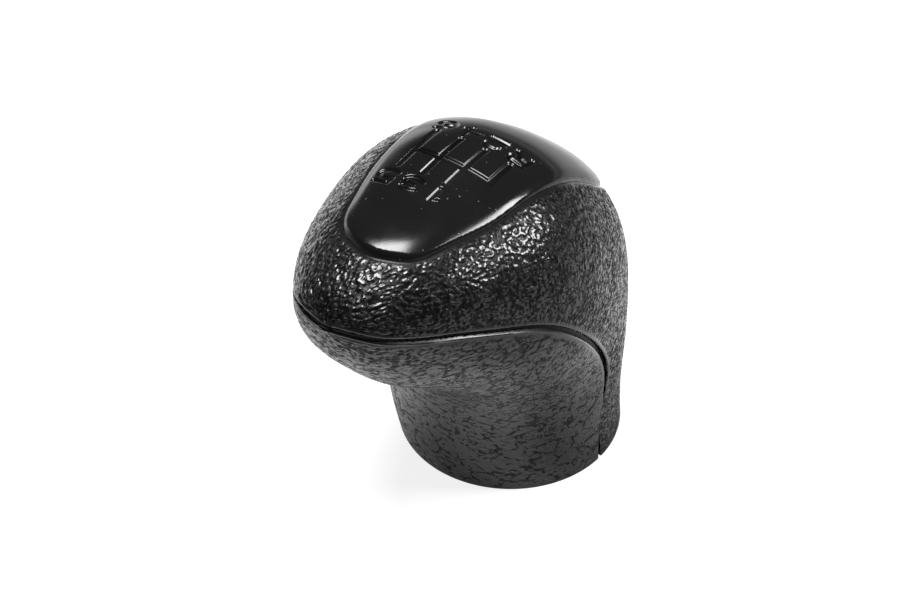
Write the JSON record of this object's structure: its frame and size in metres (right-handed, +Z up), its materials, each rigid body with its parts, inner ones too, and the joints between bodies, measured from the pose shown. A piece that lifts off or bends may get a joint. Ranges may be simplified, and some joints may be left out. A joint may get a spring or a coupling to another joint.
{
  "type": "gear shift knob",
  "caption": "Bent gear shift knob of grained plastic shells around a threaded lever socket, with a smooth cap engraved with the shift pattern.",
  "frame": {"origin": "centre of the knob's round base, in the plane it stands on", "axes": "+Z up the lever, -Y towards the front of the car and the knob's nose, +X to the driver's left"},
  "size_m": [0.0562, 0.0828, 0.0805],
  "materials": {
    "upper_shell": "deep leather grain, slightly glossy",
    "lower_shell": "leather grain of flat plates and small cracks, satin",
    "pattern_cap": "smooth, satin to glossy",
    "lever_socket": "plain moulded",
    "lever_bush": "turned",
    "cap_screws": "zinc plated"
  },
  "bodies": {
    "root": {"upper_shell": "upper_shell", "lower_shell": "lower_shell", "pattern_cap": "pattern_cap", "lever_socket": "lever_socket", "lever_bush": "lever_bush", "cap_screws": "cap_screws"}
  },
  "joints": []
}
